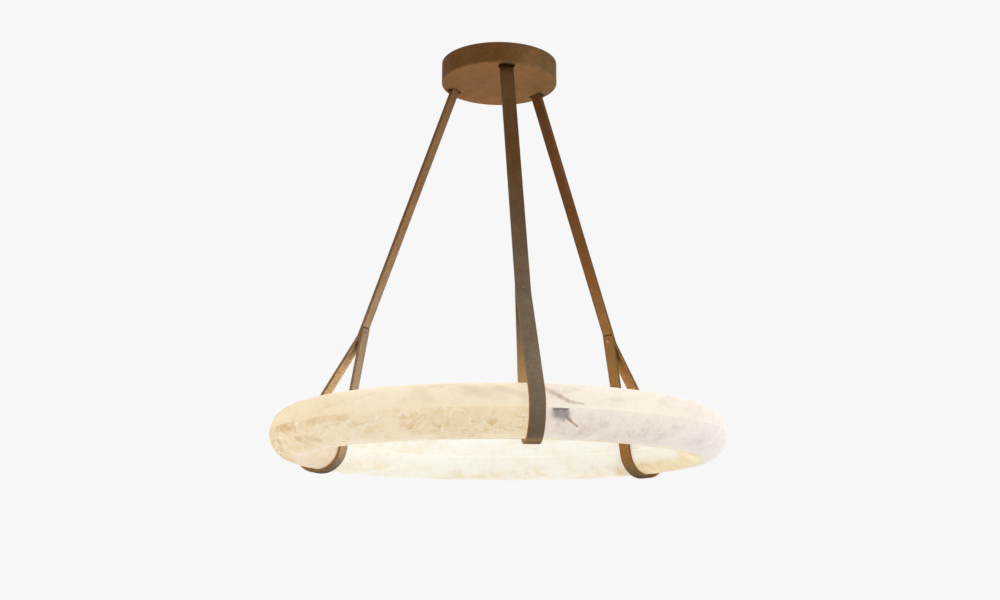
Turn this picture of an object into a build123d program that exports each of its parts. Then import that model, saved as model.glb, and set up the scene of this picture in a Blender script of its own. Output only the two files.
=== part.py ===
"""Pendant lamp: a hollow alabaster ring, lit from inside, hung by three looped straps from a drum canopy.

Frame: the origin is the centre of the ceiling face, +Z up, and the front strap lies towards -Y.
Each strap's shape is drawn in its own upright plane as (radius from the lamp's axis, height).
Units are millimetres.
"""
from build123d import *
import math
import os

# Alabaster ring
RING_D = 800.0              # outside diameter
TUBE_D = 85.0               # diameter of the ring's round section
RING_DROP = 705.0           # from the ceiling down to the middle of the section
STONE_WALL = 12.0
SEAM_CHAMFER = 0.6          # eased edge along the joint between the halves
DOWEL_D = 4.0
DOWEL_L = 30.0
DOWEL_CLEARANCE = 0.05      # radial
DOWEL_ANGLE = 50.0          # of each dowel in the section, above or below the middle

# Canopy
CANOPY_D = 215.0
CANOPY_H = 40.0
CUP_WALL = 2.0
CUP_EDGE_R = 1.5            # rounding of the lower edge
CUP_TOP_GAP = 0.5           # between the cup's rim and the ceiling
PLATE_T = 4.0
PLATE_GAP = 1.0             # between the plate's edge and the cup's wall
CEILING_PCD = 140.0
CEILING_HOLE_D = 6.5
CABLE_HOLE_D = 24.0
TAB_T = 3.0
TAB_W = 18.0
TAB_DROP = 16.0             # how far a tab reaches below the plate
SIDE_SCREW_D = 4.0
SIDE_SCREW_DROP = 12.0      # from the ceiling down to the screw's axis
SCREW_CLEARANCE = 0.05      # radial, around screws and rivets

# Straps
STRAP_COUNT = 3
STRAP_W = 25.0
STRAP_T = 6.0
STRAP_EDGE_R = 0.8          # rounding of the bar's four long edges
EYE_D = 16.0
PIN_D = 8.0
PIN_CLEARANCE = 0.05        # radial running fit in the eye
PIN_RADIUS = 82.0           # of the pin's axis from the lamp's axis
PIN_DROP = 18.0             # from the ceiling down to the pin's axis
BRANCH_DROP = 503.0         # from the ceiling down to where the loop leaves the strap
LAP_L = 18.0                # from that branch up to the end of the lap
LAP_GAP = 0.2               # between the two layers of the lap
LAP_TIP = 1.0               # thickness left at the lap's end, which is filed down against the strap
BEND_R = 14.0               # of the strap's middle layer at the branch
RIVET_D = 5.0
RIVET_BACK = 10.0           # from the lap's end down to the rivet
RIVET_HEAD_D = 7.0
RIVET_HEAD_T = 1.2
RIVET_HEAD_ROUND = 0.8
PAD_T = 1.0
PAD_W = 10.0
LOOP_CLEARANCE = 1.30       # of the loop's radius round the stone, the play that lets the lamp sway
SEAT_GAP = 0.30             # between pad and stone where the ring bears on the loop
SLOT_GAP_IN = 4.0           # strap to slot, towards the axis
SLOT_GAP_OUT = 5.0          # strap to slot, away from the axis
SLOT_GAP_SIDE = 2.0
SLOT_CORNER_R = 2.5

# Clevises
CLEVIS_T = 3.0
CLEVIS_BASE_L = 56.0
CLEVIS_BASE_W = 22.0
CLEVIS_EAR_W = 18.0
EAR_GAP = 0.5               # between the eye's end and the ear
CLEVIS_RIVET_D = 5.0
CLEVIS_RIVET_SPACING = 45.0
CLEVIS_RIVET_HEAD_D = 9.0
CLEVIS_RIVET_HEAD_T = 1.8
COUNTERSINK_D = 9.0
FLUSH_GAP = 0.2             # countersunk heads and flush ends stay this far below the surface
PIN_HEAD_D = 12.0
PIN_HEAD_T = 2.5
CLIP_T = 1.0
CLIP_D = 13.0
CLIP_GAP = 0.3              # ear to clip
GROOVE_D = 6.4
PIN_TAIL = 3.0              # of the pin beyond its clip

# Fittings under the plate
BUSHING_FLANGE_D = 29.0
BUSHING_FLANGE_T = 2.0
BUSHING_BORE_D = 16.0
DRIVER_GAP = 0.5            # between the driver's feet and the rear clevises
DRIVER_W = 40.0
DRIVER_H = 20.0
DRIVER_BACK = 36.0          # from the lamp's axis to the driver's middle, away from the front strap
DRIVER_COVER_L = 13.0
DRIVER_COVER_H = 17.0
DRIVER_EDGE_R = 2.0
DRIVER_MOUTH_W = 12.0
DRIVER_MOUTH_H = 6.0
DRIVER_MOUTH_L = 6.5
DRIVER_FOOT_L = 10.0
DRIVER_FOOT_W = 16.0
DRIVER_FOOT_T = 3.0
PAN_SCREW_D = 3.5
PAN_SCREW_HEAD_D = 6.5
PAN_SCREW_HEAD_T = 2.4
PAN_SCREW_HEAD_ROUND = 0.8
BLOCK_L = 40.0
BLOCK_W = 22.0
BLOCK_H = 15.0
BLOCK_FRONT = 38.0          # from the lamp's axis to the block's middle, towards the front strap
BLOCK_EAR_L = 9.0
BLOCK_EAR_T = 3.0
WIRE_ENTRY = 4.5            # side of the square entry for each wire
LEVER_COUNT = 3
LEVER_PITCH = 12.4
LEVER_W = 9.0
LEVER_T = 2.6
LEVER_TIP_ROUND = 0.8
LEVER_L = 18.0              # from the axle to the tip
LEVER_SIDE_GAP = 0.4
LEVER_TOP_GAP = 0.6         # between lever and housing
LEVER_BARREL_D = 5.0
AXLE_D = 2.0
AXLE_CLEARANCE = 0.05
AXLE_BACK = 6.5             # from the block's middle back to the axle
EARTH_SCREW_PLACE = (44.0, -36.0)
EARTH_WASHER_D = 11.0
EARTH_WASHER_T = 1.2

# Light source inside the ring
CARRIER_H = 24.0
CARRIER_T = 2.0
STRIP_H = 12.0
STRIP_T = 5.0
STRIP_EDGE_R = 1.0
STRIP_BREAK = 10.0          # degrees left open between the strip's ends, at the rear of the ring
CARRIER_CLIP_COUNT = 9
CARRIER_CLIP_W = 10.0
CARRIER_CLIP_L = 12.0
CARRIER_CLIP_GRIP = 6.0     # how far a clip reaches up the band
CARRIER_CLIP_GAP = 0.1      # between clip and band, on each side
GLUE_LINE = 0.2             # between clip and stone
GLAND_ANGLE = 125.0         # degrees round from the front strap, just behind the right one
GLAND_FLANGE_D = 16.0
GLAND_FLANGE_T = 3.0
GLAND_SLEEVE_D = 10.0
GLAND_BORE_D = 5.0
GLAND_SEAT_DEPTH = 1.0      # flat seat cut into the round top of the stone
GLAND_INSIDE = 2.0          # of the sleeve beyond the wall

# What follows from the sizes above
FULL_TURN = 360.0
TUBE_R = TUBE_D / 2
RING_R = RING_D / 2 - TUBE_R                     # to the middle of the section
HOLLOW_R = TUBE_R - STONE_WALL
RING_Z = -RING_DROP
CUP_R = CANOPY_D / 2
CUP_INNER_R = CUP_R - CUP_WALL
PLATE_R = CUP_INNER_R - PLATE_GAP
PLATE_UNDER = -PLATE_T
STRAP_STEP = FULL_TURN / STRAP_COUNT
PAD_INNER_R = TUBE_R + LOOP_CLEARANCE
LOOP_INNER_R = PAD_INNER_R + PAD_T
LOOP_MID_R = LOOP_INNER_R + STRAP_T / 2
LOOP_OUTER_R = LOOP_INNER_R + STRAP_T
PIN_Z = -PIN_DROP
EAR_INNER = STRAP_W / 2 + EAR_GAP
EAR_OUTER = EAR_INNER + CLEVIS_T

# Upright plane of the front strap: its x is the radius, its y the height
FRONT = Plane(origin=(0, 0, 0), x_dir=(0, -1, 0), z_dir=(-1, 0, 0))

os.makedirs("parts", exist_ok=True)


def save(name, *solids):
    """Writes one node: a single solid, or several alike."""
    shape = solids[0] if len(solids) == 1 else Compound(children=list(solids))
    shape.label = name
    export_step(shape, f"parts/{name}.step")


def turned(shape, degrees):
    """A copy turned about the lamp's axis, from the front strap towards +X."""
    return shape.rotate(Axis.Z, degrees)


def upright(radius, bottom, top, x=0.0, y=0.0):
    """A cylinder along Z between two heights."""
    middle = (bottom + top) / 2
    return Pos(x, y, middle) * Cylinder(radius, top - bottom)


def cone_upright(bottom_radius, top_radius, bottom, top, x=0.0, y=0.0):
    """A cone along Z between two heights."""
    middle = (bottom + top) / 2
    return Pos(x, y, middle) * Cone(bottom_radius, top_radius, top - bottom)


def lying(radius, left, right, y, z):
    """A cylinder along X between two places."""
    middle = (left + right) / 2
    return Pos(middle, y, z) * Rot(0, 90, 0) * Cylinder(radius, right - left)


def block(left, right, front, back, bottom, top):
    """A box given by its six faces."""
    centre = ((left + right) / 2, (front + back) / 2, (bottom + top) / 2)
    return Pos(*centre) * Box(right - left, back - front, top - bottom)


# Path of a strap, worked out in its upright plane
PIN = Vector(PIN_RADIUS, PIN_Z)
TUBE_CENTRE = Vector(RING_R, RING_Z)
ALONG = (TUBE_CENTRE - PIN).normalized()         # down the strap
INWARD = Vector(ALONG.Y, -ALONG.X)               # square to the strap, towards the axis
LOOP_CENTRE = TUBE_CENTRE - ALONG * (LOOP_CLEARANCE - SEAT_GAP)
BRANCH_ALONG = (-BRANCH_DROP - PIN_Z) / ALONG.Y  # distance from the pin to the branch
BRANCH = PIN + ALONG * BRANCH_ALONG
LAP_REACH = STRAP_T / 2 + LAP_GAP                # from the strap's middle to the lap's layer
LAP_END = BRANCH - ALONG * LAP_L + INWARD * (LAP_REACH + LAP_TIP)
RIVET_PLACE = BRANCH - ALONG * (LAP_L - RIVET_BACK)


def tangent_direction(start, radius, side):
    """Direction from the loop's centre to where the line from start touches a circle round it.

    The side is +1 outside the ring and -1 inside it.
    """
    back = start - LOOP_CENTRE
    spread = math.degrees(math.acos(radius / back.length))
    return back.normalized().rotate(Axis.Z, -side * spread)


TO_OUTER = tangent_direction(BRANCH, LOOP_MID_R, 1)
TO_INNER = tangent_direction(LAP_END, LOOP_OUTER_R, -1)
TOUCH_OUT = LOOP_CENTRE + TO_OUTER * LOOP_MID_R
TOUCH_IN = LOOP_CENTRE + TO_INNER * LOOP_MID_R
WRAP_BOTTOM = LOOP_CENTRE + ALONG * LOOP_MID_R
RETURN = LAP_END - (LOOP_CENTRE + TO_INNER * LOOP_OUTER_R)    # along the inner branch, up to the lap's end
LAP_SLOPE = RETURN.dot(INWARD) / RETURN.dot(ALONG)            # of the inner branch against the strap
RIVET_REACH = LAP_REACH + LAP_TIP + RIVET_BACK * LAP_SLOPE    # from the strap's middle to the lap's face


def bar(path):
    """The flat bar along a path in the front strap's plane."""
    path = FRONT.from_local_coords(path)
    start = Plane(origin=path @ 0, x_dir=(1, 0, 0), z_dir=path % 0)
    return sweep(start * RectangleRounded(STRAP_W, STRAP_T, STRAP_EDGE_R), path=path)


def strap():
    """One bar: from the pin down, round the stone and up again to a lap on itself."""
    down = FilletPolyline(PIN, BRANCH, TOUCH_OUT, radius=BEND_R)
    wrap = ThreePointArc(TOUCH_OUT, WRAP_BOTTOM, TOUCH_IN)
    inner_branch = bar(Wire(Line(TOUCH_IN, TOUCH_IN + RETURN)))
    near = INWARD * LAP_REACH
    far = INWARD * -STRAP_T
    beyond = [PIN + near, LOOP_CENTRE + near, LOOP_CENTRE + far, PIN + far]
    inner_branch -= extrude(FRONT * make_face(Polyline(*beyond, close=True)), STRAP_W, both=True)
    pin_y = -PIN_RADIUS
    eye = lying(EYE_D / 2, -STRAP_W / 2, STRAP_W / 2, pin_y, PIN_Z)
    bore = lying(PIN_D / 2 + PIN_CLEARANCE, -STRAP_W, STRAP_W, pin_y, PIN_Z)
    whole = bar(Wire(down.edges() + wrap.edges())) + inner_branch + eye - bore
    return whole - rivet_shank(RIVET_D / 2 + SCREW_CLEARANCE, -STRAP_T, RIVET_REACH + STRAP_T)


def rivet_plane(distance, towards):
    """A plane on the rivet's axis, at a distance from the strap's middle and square to a direction."""
    place = RIVET_PLACE + INWARD * distance
    normal = FRONT.from_local_coords(place + towards) - FRONT.from_local_coords(place)
    return Plane(origin=FRONT.from_local_coords(place), x_dir=(1, 0, 0), z_dir=normal)


def rivet_shank(radius, start, end):
    """A cylinder along the rivet's axis between two distances from the strap's middle."""
    return extrude(rivet_plane(start, INWARD) * Circle(radius), end - start)


def rivet():
    """Its inner head lies flat on the sloping lap."""
    half = RIVET_HEAD_T / 2
    shank = rivet_shank(RIVET_D / 2, -STRAP_T / 2, RIVET_REACH + half)
    head = Cylinder(RIVET_HEAD_D / 2, RIVET_HEAD_T)
    head = Pos(0, 0, half) * fillet(head.edges().group_by(Axis.Z)[-1], RIVET_HEAD_ROUND)
    inner = rivet_plane(RIVET_REACH, TO_INNER) * head
    outer = rivet_plane(-STRAP_T / 2, -INWARD) * head
    return shank + inner + outer


def pad():
    """Liner glued inside the loop, along the part that is wrapped round the stone."""
    def on_circle(point, radius):
        return LOOP_CENTRE + (point - LOOP_CENTRE).normalized() * radius

    def arc(radius):
        ends = [on_circle(point, radius) for point in (TOUCH_OUT, WRAP_BOTTOM, TOUCH_IN)]
        return ThreePointArc(*ends)

    inside = arc(PAD_INNER_R)
    outside = arc(LOOP_INNER_R)
    edges = [inside, outside, Line(inside @ 0, outside @ 0), Line(inside @ 1, outside @ 1)]
    return extrude(FRONT * make_face(edges), PAD_W / 2, both=True)


# Canopy

def strap_radius(height):
    """Distance of the strap's middle from the lamp's axis at a height."""
    return PIN.X + ALONG.X * (height - PIN_Z) / ALONG.Y


STRAP_HALF_LEVEL = STRAP_T / 2 / abs(ALONG.Y)    # half the strap's thickness, measured level
SLOT_IN = strap_radius(-CANOPY_H + CUP_WALL) - STRAP_HALF_LEVEL - SLOT_GAP_IN
SLOT_OUT = strap_radius(-CANOPY_H) + STRAP_HALF_LEVEL + SLOT_GAP_OUT
SLOT_HALF_L = STRAP_W / 2 + SLOT_GAP_SIDE
TAB_TURNS = [STRAP_STEP * (k + 0.5) for k in range(STRAP_COUNT)]
STRAP_TURNS = [STRAP_STEP * k for k in range(STRAP_COUNT)]


def canopy_cup():
    floor = -CANOPY_H
    cup = upright(CUP_R, floor, -CUP_TOP_GAP)
    cup = fillet(cup.edges().group_by(Axis.Z)[0], CUP_EDGE_R)
    cup -= upright(CUP_INNER_R, floor + CUP_WALL, 0)
    slot = block(-SLOT_HALF_L, SLOT_HALF_L, -SLOT_OUT, -SLOT_IN,
                 floor - CUP_WALL, floor + 2 * CUP_WALL)
    slot = fillet(slot.edges().filter_by(Axis.Z), SLOT_CORNER_R)
    hole = side_screw_hole(SIDE_SCREW_D / 2 + SCREW_CLEARANCE)
    for degrees in STRAP_TURNS:
        cup -= turned(slot, degrees)
    for degrees in TAB_TURNS:
        cup -= turned(hole, degrees)
    return cup


def side_screw_hole(radius):
    """A radial cylinder through tab and cup wall, drawn towards -Y."""
    start = Plane(origin=(0, -CUP_R - CUP_WALL, -SIDE_SCREW_DROP), x_dir=(1, 0, 0), z_dir=(0, 1, 0))
    return extrude(start * Circle(radius), 2 * CUP_WALL + PLATE_GAP + 2 * TAB_T)


def side_screw():
    """Grub screw with a hexagon socket, its end flush with the cup."""
    outer_end = -CUP_R + FLUSH_GAP
    length = CUP_WALL + PLATE_GAP + TAB_T + SIDE_SCREW_D / 2
    start = Plane(origin=(0, outer_end, -SIDE_SCREW_DROP), x_dir=(1, 0, 0), z_dir=(0, 1, 0))
    screw = extrude(start * Circle(SIDE_SCREW_D / 2), length)
    return screw - extrude(start * RegularPolygon(SIDE_SCREW_D / 4, 6), SIDE_SCREW_D / 2)


def clevis_rivet_places():
    half = CLEVIS_RIVET_SPACING / 2
    return [(-half, -PIN_RADIUS), (half, -PIN_RADIUS)]


def ceiling_plate():
    plate = upright(PLATE_R, PLATE_UNDER, 0)
    rim = upright(PLATE_R, PLATE_UNDER - TAB_DROP, PLATE_UNDER)
    rim -= upright(PLATE_R - TAB_T, PLATE_UNDER - TAB_DROP, PLATE_UNDER)
    tab_cut = block(-TAB_W / 2, TAB_W / 2, -CUP_R, 0, PLATE_UNDER - TAB_DROP, PLATE_UNDER)
    tab = rim & tab_cut
    screw_hole = side_screw_hole(SIDE_SCREW_D / 2 + SCREW_CLEARANCE)
    ceiling_hole = upright(CEILING_HOLE_D / 2, PLATE_UNDER, 0, y=-CEILING_PCD / 2)
    for degrees in TAB_TURNS:
        plate += turned(tab, degrees)
        plate -= turned(screw_hole, degrees)
        plate -= turned(ceiling_hole, degrees)
    plate -= upright(CABLE_HOLE_D / 2, PLATE_UNDER, 0)
    for degrees in STRAP_TURNS:
        for x, y in clevis_rivet_places():
            plate -= turned(clevis_rivet_space(x, y), degrees)
    for x, y in driver_screw_places() + block_screw_places() + [EARTH_SCREW_PLACE]:
        plate -= upright(PAN_SCREW_D / 2 + SCREW_CLEARANCE, PLATE_UNDER, 0, x, y)
    return plate


def countersunk(x, y, shank_r, head_r, bottom, head_top):
    """A shank with a 45 degree countersunk head on top."""
    shank = upright(shank_r, bottom, head_top, x, y)
    return shank + cone_upright(shank_r, head_r, head_top - (head_r - shank_r), head_top, x, y)


def clevis_rivet_space(x, y):
    shank_r = CLEVIS_RIVET_D / 2 + SCREW_CLEARANCE
    return countersunk(x, y, shank_r, COUNTERSINK_D / 2, PLATE_UNDER - CLEVIS_T, 0)


def clevis_rivet(x, y):
    under = PLATE_UNDER - CLEVIS_T
    head_r = COUNTERSINK_D / 2 - FLUSH_GAP
    body = countersunk(x, y, CLEVIS_RIVET_D / 2, head_r, under, -FLUSH_GAP)
    formed = upright(CLEVIS_RIVET_HEAD_D / 2, under - CLEVIS_RIVET_HEAD_T, under, x, y)
    return body + fillet(formed.edges().group_by(Axis.Z)[0], CLEVIS_RIVET_HEAD_T / 2)


def clevis():
    under = PLATE_UNDER - CLEVIS_T
    half_l = CLEVIS_BASE_L / 2
    half_w = CLEVIS_BASE_W / 2
    base = block(-half_l, half_l, -PIN_RADIUS - half_w, -PIN_RADIUS + half_w, under, PLATE_UNDER)
    base = fillet(base.edges().filter_by(Axis.Z), CLEVIS_T)
    bracket = base
    ear_r = CLEVIS_EAR_W / 2
    for inner in (-EAR_OUTER, EAR_INNER):
        outer = inner + CLEVIS_T
        bracket += block(inner, outer, -PIN_RADIUS - ear_r, -PIN_RADIUS + ear_r, PIN_Z, under)
        bracket += lying(ear_r, inner, outer, -PIN_RADIUS, PIN_Z)
    bracket -= lying(PIN_D / 2 + PIN_CLEARANCE, -half_l, half_l, -PIN_RADIUS, PIN_Z)
    for x, y in clevis_rivet_places():
        bracket -= upright(CLEVIS_RIVET_D / 2 + SCREW_CLEARANCE, under, PLATE_UNDER, x, y)
    return bracket


CLIP_START = EAR_OUTER + CLIP_GAP


def strap_pin():
    tail = CLIP_START + CLIP_T + PIN_TAIL
    pin = lying(PIN_D / 2, -EAR_OUTER, tail, -PIN_RADIUS, PIN_Z)
    pin += lying(PIN_HEAD_D / 2, -EAR_OUTER - PIN_HEAD_T, -EAR_OUTER, -PIN_RADIUS, PIN_Z)
    groove = lying(PIN_D, CLIP_START, CLIP_START + CLIP_T, -PIN_RADIUS, PIN_Z)
    groove -= lying(GROOVE_D / 2, CLIP_START, CLIP_START + CLIP_T, -PIN_RADIUS, PIN_Z)
    return pin - groove


def pin_clip():
    """E clip that sits in the pin's groove, open towards the front."""
    clip = lying(CLIP_D / 2, CLIP_START, CLIP_START + CLIP_T, -PIN_RADIUS, PIN_Z)
    clip -= lying(GROOVE_D / 2 + PIN_CLEARANCE, CLIP_START, CLIP_START + CLIP_T, -PIN_RADIUS, PIN_Z)
    mouth = GROOVE_D / 2 - PIN_CLEARANCE
    clip -= block(CLIP_START, CLIP_START + CLIP_T, -PIN_RADIUS - CLIP_D, -PIN_RADIUS,
                  PIN_Z - mouth, PIN_Z + mouth)
    return clip


def cable_bushing():
    bushing = upright(CABLE_HOLE_D / 2 - SCREW_CLEARANCE, PLATE_UNDER, -FLUSH_GAP)
    flange = upright(BUSHING_FLANGE_D / 2, PLATE_UNDER - BUSHING_FLANGE_T, PLATE_UNDER)
    bushing += fillet(flange.edges().group_by(Axis.Z)[0], BUSHING_FLANGE_T / 2)
    return bushing - upright(BUSHING_BORE_D / 2, PLATE_UNDER - BUSHING_FLANGE_T, 0)


# Power supply and terminals

# The driver is as long as the room between the rear clevises, measured square to them, lets it be
CLEVIS_LEAN = math.radians(STRAP_STEP - FULL_TURN / 4)
CLEVIS_FACE = PIN_RADIUS - CLEVIS_BASE_W / 2 - DRIVER_GAP
FOOT_CORNER_Y = DRIVER_BACK + DRIVER_FOOT_W / 2
FOOT_END = (CLEVIS_FACE - FOOT_CORNER_Y * math.sin(CLEVIS_LEAN)) / math.cos(CLEVIS_LEAN)
DRIVER_END = FOOT_END - DRIVER_FOOT_L
DRIVER_HALF_L = DRIVER_END - DRIVER_COVER_L         # of the case, without its end covers


def driver_screw_places():
    out = DRIVER_END + DRIVER_FOOT_L / 2
    return [(-out, DRIVER_BACK), (out, DRIVER_BACK)]


def block_screw_places():
    out = BLOCK_L / 2 + BLOCK_EAR_L / 2
    return [(-out, -BLOCK_FRONT), (out, -BLOCK_FRONT)]


def led_driver():
    """Case with a foot plate that runs out under both end covers to the screws."""
    half_w = DRIVER_W / 2
    case = block(-DRIVER_HALF_L, DRIVER_HALF_L, DRIVER_BACK - half_w, DRIVER_BACK + half_w,
                 PLATE_UNDER - DRIVER_H, PLATE_UNDER)
    case = fillet(case.edges().group_by(Axis.Z)[0] + case.edges().filter_by(Axis.Z), DRIVER_EDGE_R)
    half_foot = DRIVER_FOOT_W / 2
    foot = block(-FOOT_END, FOOT_END, DRIVER_BACK - half_foot, DRIVER_BACK + half_foot,
                 PLATE_UNDER - DRIVER_FOOT_T, PLATE_UNDER)
    foot = fillet(foot.edges().filter_by(Axis.Z), DRIVER_FOOT_T)
    driver = case + foot
    screw_r = PAN_SCREW_D / 2 + SCREW_CLEARANCE
    for x, y in driver_screw_places():
        driver -= upright(screw_r, PLATE_UNDER - DRIVER_FOOT_T, PLATE_UNDER, x, y)
    return driver


def driver_cover(side):
    """Cover over one end's terminals, with a mouth for the leads."""
    half_w = DRIVER_W / 2
    inner, outer = sorted((side * DRIVER_HALF_L, side * DRIVER_END))
    top = PLATE_UNDER - DRIVER_FOOT_T
    cover = block(inner, outer, DRIVER_BACK - half_w, DRIVER_BACK + half_w,
                  PLATE_UNDER - DRIVER_COVER_H, top)
    cover = fillet(cover.edges().group_by(Axis.Z)[0], DRIVER_EDGE_R)
    mouth_x = side * (DRIVER_END - DRIVER_MOUTH_L / 2)
    mouth_z = PLATE_UNDER - (DRIVER_COVER_H + DRIVER_FOOT_T) / 2
    mouth = Box(DRIVER_MOUTH_L, DRIVER_MOUTH_W, DRIVER_MOUTH_H)
    return cover - Pos(mouth_x, DRIVER_BACK, mouth_z) * mouth


def pan_screw(x, y, seat):
    """Screw from below through a foot of the fitting into the plate."""
    shank = upright(PAN_SCREW_D / 2, seat, -FLUSH_GAP, x, y)
    head = upright(PAN_SCREW_HEAD_D / 2, seat - PAN_SCREW_HEAD_T, seat, x, y)
    head = fillet(head.edges().group_by(Axis.Z)[0], PAN_SCREW_HEAD_ROUND)
    slot_depth = PAN_SCREW_HEAD_T / 2
    slot = block(x - PAN_SCREW_HEAD_D, x + PAN_SCREW_HEAD_D, y - slot_depth / 2, y + slot_depth / 2,
                 seat - PAN_SCREW_HEAD_T, seat - slot_depth)
    return shank + head - slot


BLOCK_UNDER = PLATE_UNDER - BLOCK_H
AXLE_Y = -BLOCK_FRONT + AXLE_BACK
AXLE_Z = BLOCK_UNDER + LEVER_BARREL_D / 2
LEVER_PLACES = [LEVER_PITCH * (k - (LEVER_COUNT - 1) / 2) for k in range(LEVER_COUNT)]


def lever(x):
    """Flat lever that lies in its recess under the block and swings down about the axle."""
    left = x - LEVER_W / 2
    right = x + LEVER_W / 2
    arm = block(left, right, AXLE_Y - LEVER_L, AXLE_Y, BLOCK_UNDER, BLOCK_UNDER + LEVER_T)
    arm = fillet(arm.edges().filter_by(Axis.X).group_by(Axis.Y)[0], LEVER_TIP_ROUND)
    barrel = lying(LEVER_BARREL_D / 2, left, right, AXLE_Y, AXLE_Z)
    return arm + barrel - lying(AXLE_D / 2 + AXLE_CLEARANCE, left, right, AXLE_Y, AXLE_Z)


def terminal_block():
    half_l = BLOCK_L / 2
    half_w = BLOCK_W / 2
    front = -BLOCK_FRONT - half_w
    back = -BLOCK_FRONT + half_w
    housing = block(-half_l, half_l, front, back, BLOCK_UNDER, PLATE_UNDER)
    ear_out = half_l + BLOCK_EAR_L
    ears = block(-ear_out, ear_out, -BLOCK_FRONT - BLOCK_EAR_L / 2, -BLOCK_FRONT + BLOCK_EAR_L / 2,
                 PLATE_UNDER - BLOCK_EAR_T, PLATE_UNDER)
    housing += fillet(ears.edges().filter_by(Axis.Z), BLOCK_EAR_T)
    recess_top = AXLE_Z + LEVER_BARREL_D / 2 + LEVER_TOP_GAP
    arm_top = BLOCK_UNDER + LEVER_T + LEVER_TOP_GAP
    barrel_back = AXLE_Y + LEVER_BARREL_D / 2 + LEVER_TOP_GAP
    barrel_front = AXLE_Y - LEVER_BARREL_D / 2 - LEVER_TOP_GAP
    for x in LEVER_PLACES:
        left = x - LEVER_W / 2 - LEVER_SIDE_GAP
        right = x + LEVER_W / 2 + LEVER_SIDE_GAP
        housing -= block(left, right, barrel_front, barrel_back, BLOCK_UNDER, recess_top)
        housing -= block(left, right, front, barrel_front, BLOCK_UNDER, arm_top)
        entry = Plane(origin=(x, front, (arm_top + PLATE_UNDER) / 2), x_dir=(1, 0, 0), z_dir=(0, 1, 0))
        housing -= extrude(entry * Rectangle(WIRE_ENTRY, WIRE_ENTRY), BLOCK_W / 2)
    housing -= lying(AXLE_D / 2 + AXLE_CLEARANCE, -half_l, half_l, AXLE_Y, AXLE_Z)
    screw_r = PAN_SCREW_D / 2 + SCREW_CLEARANCE
    for x, y in block_screw_places():
        housing -= upright(screw_r, PLATE_UNDER - BLOCK_EAR_T, PLATE_UNDER, x, y)
    return housing


def earth_screw():
    x, y = EARTH_SCREW_PLACE
    washer = upright(EARTH_WASHER_D / 2, PLATE_UNDER - EARTH_WASHER_T, PLATE_UNDER, x, y)
    return pan_screw(x, y, PLATE_UNDER - EARTH_WASHER_T) + washer


# Ring

def dowel_places(half):
    """Places in the ring's section, as (radius, height).

    The half is +1 for the upper shells and -1 for the lower.
    """
    middle = (TUBE_R + HOLLOW_R) / 2
    level = middle * math.cos(math.radians(DOWEL_ANGLE))
    rise = half * middle * math.sin(math.radians(DOWEL_ANGLE))
    return [(RING_R - level, RING_Z + rise), (RING_R + level, RING_Z + rise)]


def dowel(radius, height, extra):
    half = DOWEL_L / 2 + extra
    return lying(DOWEL_D / 2 + extra, -half, half, -radius, height)


def shell_section(half):
    """Half of the stone's round section, with its outer edges eased at the joint."""
    inner = TUBE_R - SEAM_CHAMFER
    lift = half * SEAM_CHAMFER

    def half_circle(radius):
        top = (RING_R, RING_Z + half * radius)
        return ThreePointArc((RING_R + radius, RING_Z), top, (RING_R - radius, RING_Z))

    outside = half_circle(TUBE_R)
    inside = half_circle(HOLLOW_R)
    joints = [Line(outside @ 0, inside @ 0), Line(outside @ 1, inside @ 1)]
    face = make_face([outside, inside] + joints)
    for side in (1, -1):
        corner = (RING_R + side * (TUBE_R + SEAM_CHAMFER), RING_Z)
        root = (RING_R + side * inner, RING_Z)
        tip = (RING_R + side * (TUBE_R + SEAM_CHAMFER), RING_Z + 2 * lift)
        face -= make_face(Polyline(corner, root, tip, close=True))
    return face


def shell(half):
    """One third of the stone, from under the front strap round to the next strap."""
    arc = revolve(FRONT * shell_section(half), Axis.Z, STRAP_STEP)
    for radius, height in dowel_places(half):
        hole = dowel(radius, height, DOWEL_CLEARANCE)
        arc -= hole
        arc -= turned(hole, STRAP_STEP)
    return arc


def led_carrier():
    low = RING_Z - CARRIER_H / 2
    high = RING_Z + CARRIER_H / 2
    return upright(RING_R + CARRIER_T / 2, low, high) - upright(RING_R - CARRIER_T / 2, low, high)


def led_strip():
    outer = RING_R - CARRIER_T / 2
    middle = (outer - STRIP_T / 2, RING_Z)
    section = FRONT * Pos(*middle) * RectangleRounded(STRIP_T, STRIP_H, STRIP_EDGE_R)
    start = (FULL_TURN + STRIP_BREAK) / 2
    return turned(revolve(section, Axis.Z, FULL_TURN - STRIP_BREAK), start)


def carrier_clip():
    """Foot glued to the hollow's floor, with a slot for the band."""
    top = RING_Z - CARRIER_H / 2 + CARRIER_CLIP_GRIP
    half_w = CARRIER_CLIP_W / 2
    half_l = CARRIER_CLIP_L / 2
    foot = block(-half_l, half_l, -RING_R - half_w, -RING_R + half_w, RING_Z - TUBE_R, top)
    hollow = Pos(0, 0, RING_Z) * Torus(RING_R, HOLLOW_R - GLUE_LINE)
    foot = foot & hollow
    low = RING_Z - CARRIER_H / 2
    slot = upright(RING_R + CARRIER_T / 2 + CARRIER_CLIP_GAP, low, top)
    slot -= upright(RING_R - CARRIER_T / 2 - CARRIER_CLIP_GAP, low, top)
    return foot - slot


GLAND_SEAT_Z = RING_Z + TUBE_R - GLAND_SEAT_DEPTH


def gland_space():
    """The flat seat and the hole that the gland takes up in the stone, drawn at the front."""
    seat = upright(GLAND_FLANGE_D / 2 + GLUE_LINE, GLAND_SEAT_Z, RING_Z + TUBE_D, y=-RING_R)
    return seat + upright(GLAND_SLEEVE_D / 2 + SCREW_CLEARANCE, RING_Z, GLAND_SEAT_Z, y=-RING_R)


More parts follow.
